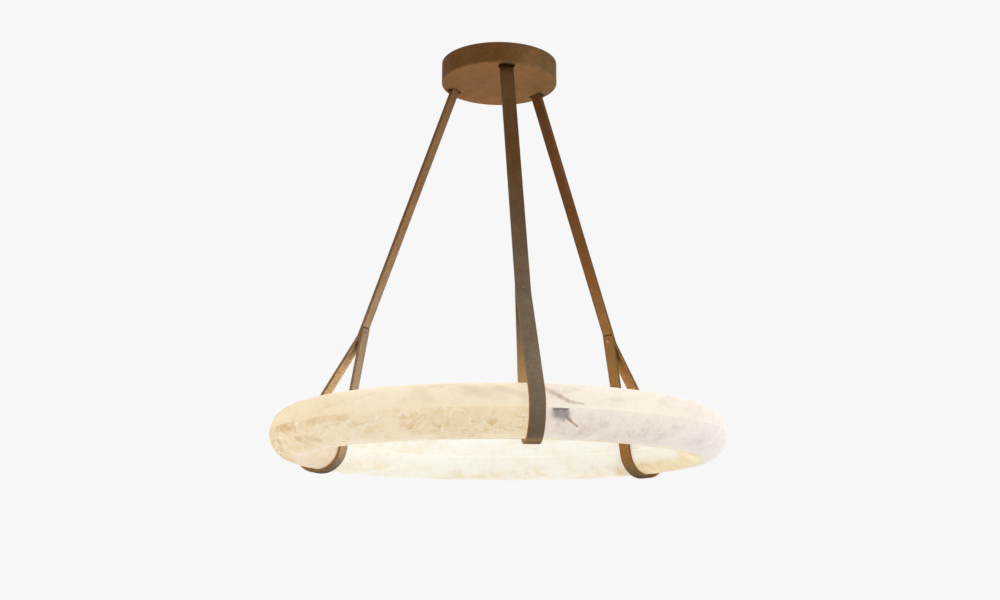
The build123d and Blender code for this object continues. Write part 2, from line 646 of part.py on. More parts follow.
def inlet_gland():
    flange = upright(GLAND_FLANGE_D / 2, GLAND_SEAT_Z, GLAND_SEAT_Z + GLAND_FLANGE_T, y=-RING_R)
    flange = fillet(flange.edges().group_by(Axis.Z)[-1], GLAND_FLANGE_T / 2)
    sleeve_end = RING_Z + HOLLOW_R - GLAND_INSIDE
    gland = flange + upright(GLAND_SLEEVE_D / 2, sleeve_end, GLAND_SEAT_Z, y=-RING_R)
    return gland - upright(GLAND_BORE_D / 2, sleeve_end, RING_Z + TUBE_D, y=-RING_R)


# Write the nodes

STRAP_NAMES = ["front", "right", "left"]
SHELL_NAMES = ["right", "rear", "left"]

save("ceiling_plate", ceiling_plate())
save("canopy_cup", canopy_cup())
save("side_screws", *[turned(side_screw(), degrees) for degrees in TAB_TURNS])
save("strap_clevises", *[turned(clevis(), degrees) for degrees in STRAP_TURNS])
save("clevis_rivets", *[turned(clevis_rivet(x, y), degrees)
                        for degrees in STRAP_TURNS for x, y in clevis_rivet_places()])
save("strap_pins", *[turned(strap_pin(), degrees) for degrees in STRAP_TURNS])
save("pin_clips", *[turned(pin_clip(), degrees) for degrees in STRAP_TURNS])
save("cable_bushing", cable_bushing())
save("led_driver", led_driver())
save("driver_covers", driver_cover(-1), driver_cover(1))
save("driver_screws", *[pan_screw(x, y, PLATE_UNDER - DRIVER_FOOT_T) for x, y in driver_screw_places()])
save("terminal_block", terminal_block())
save("terminal_screws", *[pan_screw(x, y, PLATE_UNDER - BLOCK_EAR_T) for x, y in block_screw_places()])
save("lever_axle", lying(AXLE_D / 2, -BLOCK_L / 2, BLOCK_L / 2, AXLE_Y, AXLE_Z))
save("earth_screw", earth_screw())
for name, x in zip(["live", "neutral", "earth"], LEVER_PLACES):
    save(f"lever_{name}", lever(x))

for name, degrees in zip(STRAP_NAMES, STRAP_TURNS):
    save(f"strap_{name}", turned(strap(), degrees))
    save(f"rivet_{name}", turned(rivet(), degrees))
    save(f"pad_{name}", turned(pad(), degrees))

for name, degrees in zip(SHELL_NAMES, STRAP_TURNS):
    upper = turned(shell(1), degrees)
    save(f"upper_shell_{name}", upper - turned(gland_space(), GLAND_ANGLE))
    save(f"lower_shell_{name}", turned(shell(-1), degrees))
DOWEL_PLACES = dowel_places(1) + dowel_places(-1)
save("joint_dowels", *[turned(dowel(radius, height, 0), degrees)
                       for degrees in STRAP_TURNS for radius, height in DOWEL_PLACES])
save("led_carrier", led_carrier())
save("led_strip", led_strip())
CLIP_STEP = FULL_TURN / CARRIER_CLIP_COUNT
save("carrier_clips", *[turned(carrier_clip(), CLIP_STEP * (k + 0.5)) for k in range(CARRIER_CLIP_COUNT)])
save("inlet_gland", turned(inlet_gland(), GLAND_ANGLE))
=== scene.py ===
"""Looks of the pendant lamp: lit alabaster ring, bronze straps and canopy, and the fittings inside."""
import math

import bpy
from mathutils import Matrix, Vector

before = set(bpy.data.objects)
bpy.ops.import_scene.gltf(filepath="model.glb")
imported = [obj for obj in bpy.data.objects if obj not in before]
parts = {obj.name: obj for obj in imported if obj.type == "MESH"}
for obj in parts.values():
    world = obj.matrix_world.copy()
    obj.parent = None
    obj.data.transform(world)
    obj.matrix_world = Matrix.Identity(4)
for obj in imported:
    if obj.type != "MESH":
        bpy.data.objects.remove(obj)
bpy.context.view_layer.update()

# Sizes that the looks follow, in metres
RING_R = 0.3575             # from the lamp's axis to the middle of the ring's section
RING_Z = -0.705             # height of the ring's middle plane, where the upper and the lower shells meet
TUBE_R = 0.0425             # radius of the ring's section
STRAP_HALF_W = 0.0125

BLACK = (0.0, 0.0, 0.0, 1.0)


def srgb(code):
    """Linear colour with alpha, from a hex code."""
    values = [int(code[i:i + 2], 16) / 255 for i in (1, 3, 5)]
    linear = [v / 12.92 if v <= 0.04045 else ((v + 0.055) / 1.055) ** 2.4 for v in values]
    return (*linear, 1.0)


def tones(*codes):
    """Linear colours of several hex codes."""
    return [srgb(code) for code in codes]


class Tree:
    """A material, with short calls for the shader nodes that it is made of."""

    def __init__(self, name):
        self.material = bpy.data.materials.new(name)
        self.material.use_nodes = True
        self.nodes = self.material.node_tree.nodes
        self.links = self.material.node_tree.links
        self.shader = self.nodes["Principled BSDF"]

    def add(self, kind, **settings):
        node = self.nodes.new(kind)
        for key, value in settings.items():
            setattr(node, key, value)
        return node

    def feed(self, value, socket):
        if isinstance(value, bpy.types.NodeSocket):
            self.links.new(value, socket)
        else:
            socket.default_value = value

    def math(self, operation, a, b=0.0):
        node = self.add("ShaderNodeMath", operation=operation)
        self.feed(a, node.inputs[0])
        self.feed(b, node.inputs[1])
        return node.outputs[0]

    def plus(self, a, b):
        return self.math("ADD", a, b)

    def minus(self, a, b):
        return self.math("SUBTRACT", a, b)

    def times(self, a, b):
        return self.math("MULTIPLY", a, b)

    def larger(self, a, b):
        return self.math("MAXIMUM", a, b)

    def unsigned(self, a):
        return self.math("ABSOLUTE", a)

    def hypotenuse(self, a, b):
        return self.math("SQRT", self.plus(self.times(a, a), self.times(b, b)))

    def vector(self, operation, a, b, result="Vector"):
        node = self.add("ShaderNodeVectorMath", operation=operation)
        self.feed(a, node.inputs[0])
        self.feed(b, node.inputs[1])
        return node.outputs[result]

    def join(self, x, y, z):
        node = self.add("ShaderNodeCombineXYZ")
        for value, socket in zip((x, y, z), node.inputs):
            self.feed(value, socket)
        return node.outputs[0]

    def split(self, vector):
        node = self.add("ShaderNodeSeparateXYZ")
        self.feed(vector, node.inputs[0])
        return node.outputs

    def place(self):
        return self.add("ShaderNodeTexCoord").outputs["Object"]

    def normal(self):
        return self.add("ShaderNodeTexCoord").outputs["Normal"]

    def turned(self, vector, degrees):
        """A vector turned back by an angle about Z."""
        node = self.add("ShaderNodeVectorRotate", rotation_type="Z_AXIS")
        self.feed(vector, node.inputs["Vector"])
        node.inputs["Angle"].default_value = -math.radians(degrees)
        return node.outputs[0]

    def noise(self, vector, scale, detail=4.0, roughness=0.55, distortion=0.0, result="Fac"):
        node = self.add("ShaderNodeTexNoise")
        self.feed(vector, node.inputs["Vector"])
        for name, value in (("Scale", scale), ("Detail", detail), ("Roughness", roughness),
                            ("Distortion", distortion)):
            node.inputs[name].default_value = value
        return node.outputs[result]

    def step(self, value, low, high, start=0.0, end=1.0):
        """Smooth step from start to end as the value goes from low to high."""
        node = self.add("ShaderNodeMapRange", interpolation_type="SMOOTHSTEP")
        for number, item in enumerate((value, low, high, start, end)):
            self.feed(item, node.inputs[number])
        return node.outputs[0]

    def mix(self, factor, a, b, blend="MIX"):
        node = self.add("ShaderNodeMix", data_type="RGBA", blend_type=blend)
        self.feed(factor, node.inputs["Factor"])
        self.feed(a, node.inputs[6])
        self.feed(b, node.inputs[7])
        return node.outputs[2]

    def bump(self, height, strength, distance):
        node = self.add("ShaderNodeBump")
        node.inputs["Strength"].default_value = strength
        node.inputs["Distance"].default_value = distance
        self.feed(height, node.inputs["Height"])
        self.links.new(node.outputs[0], self.shader.inputs["Normal"])

    def set(self, **sockets):
        """Feeds the shader's sockets, whose names are written with _ for a space."""
        for name, value in sockets.items():
            self.feed(value, self.shader.inputs[name.replace("_", " ")])
        return self.material


def wear(node, material):
    """Gives a part its material."""
    mesh = parts[node].data
    mesh.materials.clear()
    mesh.materials.append(material)


# Alabaster

TONE_CHANGE = (-40, 25)         # degrees from a shell's middle, where its start and its end tones are full
BEND = 0.045                    # how far the pattern wanders
STRETCH = (0.45, 1.0, 1.0)      # makes the pattern longer along its slant
SHAKE = (0.010, 0.005)          # how far a stain's outline wanders and frays
CRACKLE_FRAY = 0.016
SEAM_REACH = 0.024              # how far the seam's tone spreads from the outer joint; the tone is the joint and the painted shade of the LED carrier inside
SKIN = (0.0007, 0.0003)         # depths between which the stone turns from inside to surface
STONE_GLOW = 0.64
CRACKLE_SCALE = 46.0
INSIDE_LIGHT = srgb("#fbfdf7")
# Painted shade: the dim brown of the joint faces and the hollow inside the ring
HOLLOW_SHADE = srgb("#a88c62")
PALE_WISP = srgb("#fff4de")
DARK_WISP = srgb("#c3a78c")


class Stone(Tree):
    """Alabaster of one shell, whose third of the ring is centred on the angle middle, in degrees.

    Its pattern lies along the ring (u) and round the section (v), both in metres. The seed picks the
    pattern, which is drawn out along a line at the angle slant.
    """

    def __init__(self, name, middle, seed, slant):
        super().__init__(name)
        self.middle = middle
        x, y, z = self.split(self.turned(self.place(), middle))
        self.angle = self.math("ARCTAN2", x, self.times(y, -1.0))
        self.out = self.minus(self.hypotenuse(x, y), RING_R)
        self.up = self.minus(z, RING_Z)
        u = self.times(self.angle, RING_R)
        self.v = self.times(self.math("ARCTAN2", self.up, self.out), TUBE_R)
        self.inner = self.step(self.math("DIVIDE", self.out, TUBE_R), 0.30, -0.28)

        flat = self.join(u, self.v, seed)
        warp = self.waver(flat, scale=14.0, detail=3.0)
        self.fray = self.waver(flat, scale=150.0, detail=4.0, roughness=0.7)
        self.bent = self.moved(flat, warp, BEND)
        self.drawn = self.vector("MULTIPLY", self.turned(self.bent, slant), STRETCH)
        shaky = self.moved(self.join(u, self.v, 0.0), warp, SHAKE[0])
        self.shaky = self.moved(shaky, self.fray, SHAKE[1])
        broad = self.noise(self.drawn, scale=17.0, detail=8.0, roughness=0.64, distortion=0.6)
        patch = self.noise(self.bent, scale=52.0, detail=9.0, roughness=0.72, distortion=0.7)
        fine = self.noise(self.bent, scale=170.0, detail=6.0, roughness=0.70, distortion=0.4)
        self.broad = self.step(broad, 0.40, 0.64)
        self.patch = self.step(patch, 0.42, 0.60)
        self.fine = self.step(fine, 0.40, 0.62)
        self.depth = self.plus(self.times(self.broad, self.plus(self.times(self.patch, 0.50), 0.28)),
                               self.times(self.patch, self.plus(self.times(self.fine, 0.25), 0.12)))

    def waver(self, vector, **settings):
        """A noise of directions, about zero."""
        return self.vector("SUBTRACT", self.noise(vector, result="Color", **settings), (0.5, 0.5, 0.5))

    def moved(self, vector, shift, amount):
        """A place moved along u and v."""
        return self.vector("ADD", vector, self.vector("MULTIPLY", shift, (amount, amount, 0.0)))

    def crests(self, vector, scale, width):
        """Thin lines along the middle level of a noise."""
        level = self.minus(self.noise(vector, scale, detail=5.0, roughness=0.6, distortion=0.5), 0.5)
        return self.step(self.unsigned(level), 0.0, width, 1.0, 0.0)

    def clouded(self, pale, cloud, seam):
        """Pale stone with clouds, and the seam's tone along the outer joint, which is partly the joint and
        partly painted shade of the LED carrier inside.
        """
        share = self.step(self.angle, *(math.radians(degrees) for degrees in TONE_CHANGE))
        colour = self.mix(self.depth, self.mix(share, *pale), self.mix(share, *cloud))
        # The seam's tone: the joint itself, with painted shade of the LED carrier inside
        beside = self.step(self.unsigned(self.v), 0.0, SEAM_REACH, 1.0, 0.0)
        beside = self.times(beside, self.plus(self.times(self.broad, 0.35), 0.45))
        return self.mix(beside, colour, self.mix(share, *seam))

    def streaked(self, colour, wisps):
        """Pale wisps and crackle, and a few darker wisps that run the same way."""
        veil = self.noise(self.drawn, scale=8.0, detail=4.0, roughness=0.5)
        curled = self.times(self.crests(self.bent, 27.0, 0.014), self.step(veil, 0.42, 0.58))
        straight = self.times(self.crests(self.drawn, 40.0, 0.024), self.step(veil, 0.60, 0.44))
        cells = self.add("ShaderNodeTexVoronoi", feature="DISTANCE_TO_EDGE")
        self.feed(self.moved(self.bent, self.fray, CRACKLE_FRAY), cells.inputs["Vector"])
        cells.inputs["Scale"].default_value = CRACKLE_SCALE
        crackle = self.step(cells.outputs["Distance"], 0.0, 0.05, 1.0, 0.0)
        crackle = self.times(crackle, self.step(self.patch, 0.05, 0.55))
        light = self.larger(self.larger(curled, straight), crackle)
        colour = self.mix(self.times(light, wisps), colour, PALE_WISP)
        dark = self.times(self.crests(self.drawn, 11.0, 0.012), self.step(veil, 0.58, 0.40))
        return self.mix(self.times(dark, 0.30), colour, DARK_WISP)

    def marked(self, colour, stains, broken):
        """Veins, spots, stains and painted bright patches of the ring's glow, each along a line from one
        place to another.
        """
        for first, last, width, tone, strength in stains:
            distance = self.from_line(self.shaky, self.on_shell(*first), self.on_shell(*last))
            amount = self.step(distance, width * 0.2, width, strength, 0.0)
            colour = self.mix(self.times(amount, broken), colour, tone)
        return colour

    def on_shell(self, round_ring, round_section):
        """Place in (u, v) from its angles in degrees."""
        u = math.radians(round_ring - self.middle) * RING_R
        v = math.radians(round_section) * TUBE_R
        return Vector((u, v, 0.0))

    def from_line(self, point, start, end):
        """Distance from a point of the (u, v) plane to a line between two places."""
        run = end - start
        offset = self.vector("SUBTRACT", point, start)
        share = self.vector("DOT_PRODUCT", offset, run / run.length_squared, result="Value")
        share = self.larger(self.math("MINIMUM", share, 1.0), 0.0)
        return self.vector("DISTANCE", offset, self.vector("MULTIPLY", run, share), result="Value")

    def lit(self, colour, bright):
        """The stone with its glow.

        The light inside faces the lamp's axis, so the inner side is the whitest, most of all above its
        foot. The joint faces and the hollow, under the skin, stay dim.
        """
        level = self.step(self.math("DIVIDE", self.up, TUBE_R), -0.95, -0.20, 0.20, 1.0)
        level = self.times(self.inner, level)
        glow = self.mix(self.times(level, bright), colour, INSIDE_LIGHT)
        strength = self.minus(STONE_GLOW, self.times(level, 0.04))
        skin = self.step(self.hypotenuse(self.out, self.up), TUBE_R - SKIN[0], TUBE_R - SKIN[1])
        strength = self.times(strength, self.step(skin, 0.0, 1.0, 0.55, 1.0))
        grain = self.noise(self.bent, scale=420.0, detail=5.0, roughness=0.6)
        self.bump(self.plus(grain, self.times(self.patch, 0.6)), strength=0.12, distance=0.0006)
        # Under the skin the base colour is painted shade
        return self.set(Base_Color=self.mix(skin, HOLLOW_SHADE, colour),
                        Roughness=self.step(self.patch, 0.0, 1.0, 0.50, 0.40), Specular_IOR_Level=0.30,
                        Emission_Color=glow, Emission_Strength=strength)


def alabaster(shell, middle, seed, slant, pale, cloud, seam, lining, bright, wisps, marks=(), clouds=()):
    """Gives a shell its stone.

    Pale, cloud and seam are pairs of colours, for the shell's start and its end; the seam's tone is partly
    painted shade of the LED carrier inside. The lining is the pale and the cloud colour of the inner side,
    and bright is how far the light inside whitens it. Wisps is the strength of the pale wisps. Marks are
    veins, spots and painted bright patches of the ring's glow, and clouds are broad stains that the stone's
    own patches break up.
    """
    stone = Stone("alabaster_" + shell.replace("_shell", ""), middle, seed, slant)
    colour = stone.clouded(pale, cloud, seam)
    colour = stone.streaked(colour, wisps)
    colour = stone.mix(stone.inner, colour, stone.mix(stone.depth, *lining))
    colour = stone.marked(colour, clouds, stone.step(stone.patch, 0.0, 0.9, 0.25, 1.0))
    colour = stone.marked(colour, marks, stone.step(stone.fine, 0.0, 1.0, 0.75, 1.0))
    wear(shell, stone.lit(colour, bright))


# Marks: start, end, width, colour and strength. A place is its angle round the ring and round the section.
# LIT marks are painted bright patches of the ring's glow.
VEIN, BROWN, SMOKE, DARK_SMOKE = tones("#b39a8a", "#a87a4c", "#83777d", "#6f6468")
AMBER, TAN, CLAY, LIT, GREY_CLOUD = tones("#b98a44", "#dcc196", "#c39c5c", "#fffcf0", "#d6c5b4")
CREAM_LINING = tones("#f9e8bc", "#dfbf7e")
PINK_LINING = tones("#f3e2cc", "#e3c9a4")
WHITE_LINING = tones("#fffdf2", "#f5e1b4")

alabaster(
    "upper_shell_left", middle=300, seed=4.1, slant=10,
    pale=tones("#f4deae", "#f9ebcd"), cloud=tones("#cba566", "#e8d2ab"), seam=tones("#e4c58a", "#f9e9c8"),
    lining=PINK_LINING, bright=0.12, wisps=0.50,
    marks=[((345, 42), (352, 34), 0.0220, GREY_CLOUD, 0.35),
           ((352, 46), (357, 28), 0.0100, GREY_CLOUD, 0.40),
           ((333, 52), (337, 20), 0.0090, GREY_CLOUD, 0.25)])
alabaster(
    "lower_shell_left", middle=300, seed=4.1, slant=12,
    pale=tones("#f4dcac", "#fae9c9"), cloud=tones("#b68a46", "#e2c694"), seam=tones("#e4c58a", "#f2deb8"),
    lining=PINK_LINING, bright=0.12, wisps=1.0,
    clouds=[((286, -5), (296, -13), 0.0150, CLAY, 0.65),
            ((296, -38), (304, -50), 0.0120, CLAY, 0.45),
            ((300, -10), (317, -8), 0.0080, CLAY, 0.34)],
    marks=[((341, -98), (359.4, -98), 0.0135, AMBER, 0.90),
           ((316, -98), (341, -98), 0.0080, AMBER, 0.45)])
alabaster(
    "upper_shell_right", middle=60, seed=2.9, slant=30,
    pale=tones("#f7ede0", "#eae2dd"), cloud=tones("#e6d5c2", "#d6cbc8"), seam=tones("#f8f0e2", "#e9e0da"),
    lining=CREAM_LINING, bright=0.65, wisps=0.40,
    marks=[((2.4, 43), (5.4, 26), 0.0095, VEIN, 0.42),
           ((3.5, 36), (5.4, 26), 0.0050, VEIN, 0.40),
           ((5.4, 26), (7.1, 15), 0.0058, VEIN, 0.55),
           ((7.1, 15), (8.2, 12), 0.0046, VEIN, 0.50),
           ((8.2, 12), (10.4, 9), 0.0030, BROWN, 0.42),
           # Painted light: a bright patch of the ring's glow on the inner side
           ((90, 176), (117, 172), 0.0240, LIT, 0.75)])
alabaster(
    "lower_shell_right", middle=60, seed=2.9, slant=34,
    pale=tones("#f3e8de", "#ebe3e1"), cloud=tones("#dccdc2", "#d0c8cd"), seam=tones("#f3e8dc", "#e4dbd8"),
    lining=CREAM_LINING, bright=0.65, wisps=0.55,
    marks=[((4.7, -11), (5.8, -15), 0.0160, SMOKE, 0.85),
           ((4.4, -6), (6.0, -9), 0.0095, SMOKE, 0.50),
           ((3.9, -3), (6.7, -3), 0.0042, DARK_SMOKE, 0.75),
           ((6.7, -4), (7.0, -16), 0.0042, DARK_SMOKE, 0.45),
           ((6.6, -18), (7.6, -27), 0.0036, DARK_SMOKE, 0.60),
           ((7.4, -25), (9.1, -38), 0.0028, BROWN, 0.80),
           ((0.6, -96), (22, -97), 0.0070, AMBER, 0.40),
           ((22, -97), (62, -99), 0.0070, AMBER, 0.50),
           # Painted light: a bright patch of the ring's glow on the inner side
           ((90, -163), (117, -172), 0.0260, LIT, 0.80)])
alabaster(
    "upper_shell_rear", middle=180, seed=9.2, slant=10,
    pale=tones("#f7ecd4", "#f7ecd4"), cloud=tones("#e6d0a8", "#e6d0a8"), seam=tones("#f5e8cc", "#f5e8cc"),
    lining=WHITE_LINING, bright=0.75, wisps=0.35)
alabaster(
    "lower_shell_rear", middle=180, seed=5.6, slant=12,
    pale=tones("#f6e8cb", "#f6e8cb"), cloud=tones("#dcbf8e", "#dfc496"), seam=tones("#ecd8b2", "#ecd8b2"),
    lining=WHITE_LINING, bright=0.75, wisps=0.50,
    # Darker tan patches beside the right strap
    marks=[((123.5, -150), (124.5, -112), 0.0300, TAN, 0.75),
           ((127.5, -128), (128.0, -105), 0.0200, TAN, 0.60)])


# Bronze. A span is a pair of heights, and the ceiling's height is 0.

CANOPY_SPAN = (-0.034, -0.0405)     # where the canopy's upper and lower tones are full; the lighter lower tone is painted light from the ring
STRAP_SPAN = (-0.20, -0.66)         # the same of a strap; the change is painted light and shade
LAP_END_Z = -0.4868                 # where a strap's lap ends on its inner face
LAP_LINE = (0.0026, 0.0010)         # distances at which the painted shadow along that end begins and is full
FORK_SPAN = (-0.500, -0.515)        # where the fork parts
BRANCH_SPAN = (-0.540, -0.655)      # from the top to the foot of the fork's inner branch
FORK_LEAN = 0.47                    # outward run for a drop of 1 of the line between the branches
OUTER_BRANCH = (0.039, 0.045)       # places across that line
INNER_BRANCH = (0.036, 0.022)
EDGE = (0.0013, 0.0002)             # distances from a strap's edge at which the wear and its painted highlight begin and are full
BESIDE_STONE = (0.064, 0.053)       # from the section's middle, where the painted amber reflection of the stone's light begins and is full
ROUND_STONE = (0.125, 0.050)        # the same of the inner branch's painted light and shade
INNER_SIDE = (RING_R, RING_R - 0.02)            # radii between which a loop comes to the ring's inner side
FOOT_SPAN = (RING_Z - 0.012, RING_Z - 0.040)    # where a loop's painted light at its foot begins and is full
UNDER_SPAN = (RING_Z - 0.045, RING_Z - 0.052)   # where a loop's painted shade underneath begins and is full

DULL_PATINA = srgb("#6d5a45")
EDGE_WEAR_AND_HIGHLIGHT, STONE_LIGHT_ON_EDGE = tones("#a5805a", "#bd8436")
LAP_SHADOW, UNDERSIDE_SHADE = tones("#4a2d15", "#3d2f20")
BRONZE_SHEEN = srgb("#8a6238")


class Bronze(Tree):
    """Matt brown patina with a fine speckle. Its tones change between the two heights of span, as painted
    light and shade.
    """

    def __init__(self, name, span):
        super().__init__(name)
        self.here = self.place()
        self.x, y, self.z = self.split(self.here)
        self.radius = self.hypotenuse(self.x, y)
        self.height = self.step(self.z, span[1], span[0])
        patch = self.noise(self.here, scale=38.0, detail=6.0, roughness=0.65, distortion=0.3)
        speckle = self.noise(self.here, scale=430.0, detail=3.0, roughness=0.7)
        self.patch = self.step(patch, 0.32, 0.70)
        self.speckle = self.step(speckle, 0.34, 0.66)

    def graded(self, upper, lower):
        """One tone above the span and another below it, as painted light and shade."""
        return self.mix(self.height, lower, upper)

    def weathered(self, colour):
        """Patches, speckle and dull places."""
        for texture, dark, light in ((self.patch, (0.88, 0.86, 0.84, 1.0), (1.10, 1.09, 1.07, 1.0)),
                                     (self.speckle, (0.86, 0.86, 0.87, 1.0), (1.14, 1.13, 1.11, 1.0))):
            colour = self.mix(1.0, colour, self.mix(texture, dark, light), blend="MULTIPLY")
        broad = self.noise(self.here, scale=9.0, detail=4.0, roughness=0.55)
        return self.mix(self.step(broad, 0.35, 0.65, 0.0, 0.25), colour, DULL_PATINA)

    def finished(self, colour, rubbed=0.0):
        """The metal, a little smoother where it is rubbed."""
        rough = self.noise(self.here, scale=160.0, detail=5.0, roughness=0.6)
        rough = self.minus(self.step(rough, 0.3, 0.7, 0.44, 0.60), self.times(rubbed, 0.12))
        self.bump(self.plus(self.speckle, self.times(self.patch, 0.5)), strength=0.20, distance=0.0004)
        return self.set(Base_Color=colour, Metallic=0.40, Roughness=rough, Specular_IOR_Level=0.10,
                        Specular_Tint=BRONZE_SHEEN)


def canopy_bronze():
    """Bronze of the canopy, with painted light: a lighter underside, lit by the ring, and a lighter, greyer
    side towards +X, lit by the key light.
    """
    t = Bronze("bronze_canopy", CANOPY_SPAN)
    # Painted light: the underside is lighter, as the ring lights it
    colour = t.graded(*tones("#845a30", "#97704a"))
    # Painted light: lighter and greyer towards +X, where the key light falls
    colour = t.mix(t.step(t.x, -0.03, 0.10, 0.0, 0.7), colour, srgb("#8f7450"))
    return t.finished(t.weathered(colour))


def strap_bronze(side, turn, outer, branch, inner=None, sides=None, fork=None, foot=None):
    """Gives a strap its bronze, with the light of the stone and the room painted into the tones of its
    faces.

    Outer, inner and sides are pairs of tones, for the faces that look away from the lamp's axis, towards it
    and along the ring, with an upper and a lower tone: painted light and shade. Fork is painted light on the
    inner face of the fork's outer branch. Branch is the painted light and shade of the inner branch, as a
    tone with its shares at the branch's top and foot. Foot is painted light on the loop's inner side near
    its lowest part. The long edges are rubbed a little, with a painted highlight, and beside the stone they
    get a painted amber reflection of its light.
    """
    t = Bronze(f"bronze_strap_{side}", STRAP_SPAN)
    along, inwards, _ = t.split(t.turned(t.normal(), turn))
    facing = t.step(inwards, 0.15, 0.50)
    lean = t.plus(t.radius, t.times(t.z, FORK_LEAN))
    # Painted light and shade: a tone for each way a face looks, changing down the strap
    colour = t.graded(*outer)
    if inner is not None:
        colour = t.mix(facing, colour, t.graded(*inner))
    # Painted light on the inner face of the fork's outer branch, which the ring's glow reaches
    if fork is not None:
        forked = t.times(t.step(lean, *OUTER_BRANCH), t.step(t.z, *FORK_SPAN))
        colour = t.mix(t.times(forked, facing), colour, fork)
    if sides is not None:
        colour = t.mix(t.step(t.unsigned(along), 0.6, 0.9), colour, t.graded(*sides))
    colour = t.weathered(colour)

    across = t.split(t.turned(t.here, turn))[0]
    ragged = t.minus(t.noise(t.here, scale=70.0, detail=6.0, roughness=0.7), 0.5)
    edge = t.plus(t.unsigned(across), t.times(ragged, 0.0016))
    rubbed = t.step(edge, STRAP_HALF_W - EDGE[0], STRAP_HALF_W - EDGE[1])
    gap = t.hypotenuse(t.minus(t.radius, RING_R), t.minus(t.z, RING_Z))
    beside = t.times(rubbed, t.step(gap, *BESIDE_STONE))
    # Wear on the long edges, with a painted highlight
    colour = t.mix(t.times(rubbed, 0.20), colour, EDGE_WEAR_AND_HIGHLIGHT)
    # Painted reflection: the stone's amber light on the edges beside it
    colour = t.mix(t.times(beside, 0.85), colour, STONE_LIGHT_ON_EDGE)

    inner_side = t.step(t.radius, *INNER_SIDE)
    # Painted light and shade on the inner branch and on the loop's inner side near the stone
    tone, top_share, foot_share = branch
    near = t.larger(t.times(t.step(gap, *ROUND_STONE), inner_side), t.step(lean, *INNER_BRANCH))
    colour = t.mix(t.times(near, t.step(t.z, *BRANCH_SPAN, top_share, foot_share)), colour, tone)
    # Painted light on the loop's inner side near its foot
    if foot is not None:
        colour = t.mix(t.times(t.step(t.z, *FOOT_SPAN, 0.0, 0.6), inner_side), colour, foot)
    # Painted shadow along the step at the lap's end, on the inner face
    lap_shadow = t.times(t.step(t.unsigned(t.minus(t.z, LAP_END_Z)), *LAP_LINE), facing)
    colour = t.mix(t.times(lap_shadow, 0.7), colour, LAP_SHADOW)
    # Painted shade on the underside of the loop
    colour = t.mix(t.step(t.z, *UNDER_SPAN, 0.0, 0.55), colour, UNDERSIDE_SHADE)
    wear(f"strap_{side}", t.finished(colour, rubbed))


canopy_look = canopy_bronze()
wear("canopy_cup", canopy_look)
wear("side_screws", canopy_look)
strap_bronze("front", 0, outer=tones("#745331", "#a08e78"), branch=(srgb("#d9b080"), 0.15, 0.85))
strap_bronze("right", 120, outer=tones("#704a2a", "#8a6a42"), branch=(srgb("#5a3f25"), 0.15, 0.55),
             sides=tones("#583416", "#86643c"), fork=srgb("#a88152"), foot=srgb("#a08a68"))
strap_bronze("left", 240, outer=tones("#82603e", "#b49c7c"), branch=(srgb("#857662"), 0.55, 0.60),
             inner=tones("#9c7c5a", "#98918a"), sides=tones("#7b4f2a", "#9a7c5d"), fork=srgb("#d4b896"))


# Other metals, rubber and plastics

def plated(name, dark, light, streak=(1.0, 1.0, 1.0), roughness=(0.25, 0.42), metallic=1.0):
    """Metal with cloudy plating, drawn out along one direction where the streak says so."""
    t = Tree(name)
    place = t.vector("MULTIPLY", t.place(), streak)
    cloud = t.step(t.noise(place, scale=60.0, detail=6.0, roughness=0.6, distortion=0.4), 0.30, 0.70)
    fine = t.noise(place, scale=700.0, detail=4.0, roughness=0.65)
    colour = t.mix(cloud, dark, light)
    colour = t.mix(t.step(fine, 0.35, 0.70, 0.0, 0.25), colour, dark)
    t.bump(fine, strength=0.10, distance=0.0002)
    return t.set(Base_Color=colour, Metallic=metallic, Roughness=t.step(cloud, 0.0, 1.0, *roughness))


def moulded(name, dark, light, grain, roughness, relief=0.15):
    """Plastic or rubber with a fine grain and uneven gloss."""
    t = Tree(name)
    place = t.place()
    tone = t.step(t.noise(place, scale=45.0, detail=5.0, roughness=0.55), 0.30, 0.70)
    pitted = t.noise(place, grain, detail=3.0, roughness=0.6)
    t.bump(pitted, strength=relief, distance=0.0003)
    return t.set(Base_Color=t.mix(tone, dark, light), Roughness=t.step(pitted, 0.3, 0.7, *roughness))


def led_jacket():
    """Milky jacket of the LED strip, lit from inside."""
    t = Tree("led_jacket")
    beads = t.noise(t.place(), scale=300.0, detail=3.0)
    t.bump(beads, strength=0.1, distance=0.0003)
    return t.set(Base_Color=t.mix(beads, *tones("#f4efe2", "#fffaf0")), Roughness=0.5,
                 Emission_Color=t.mix(beads, *tones("#ffe3b0", "#fff0cc")), Emission_Strength=1.2)


zinc = plated("zinc", *tones("#a9a9a6", "#c9c9c5"))
sheet_zinc = plated("zinc_sheet", *tones("#b0b0ac", "#cdcdc9"), streak=(0.15, 1.0, 1.0),
                    roughness=(0.32, 0.48))
rolled = plated("rolled_aluminium", *tones("#c2c4c6", "#dcdddf"), streak=(1.0, 1.0, 0.12))
rivet_bronze = plated("rivet_bronze", *tones("#7c684c", "#9c866a"), roughness=(0.40, 0.55), metallic=0.6)
liner = moulded("liner_cork", *tones("#4d3118", "#6e4723"), grain=900.0, roughness=(0.75, 0.9), relief=0.3)
rubber = moulded("black_rubber", *tones("#1d1c1b", "#292827"), grain=1200.0, roughness=(0.55, 0.75))
white_case = moulded("white_case", *tones("#dedcd6", "#e9e7e2"), grain=1500.0, roughness=(0.40, 0.55))
grey_case = moulded("grey_case", *tones("#9a9c9e", "#abadaf"), grain=1500.0, roughness=(0.42, 0.58))
lever_orange = moulded("lever_orange", *tones("#d8701f", "#e5812b"), grain=1400.0, roughness=(0.28, 0.40))

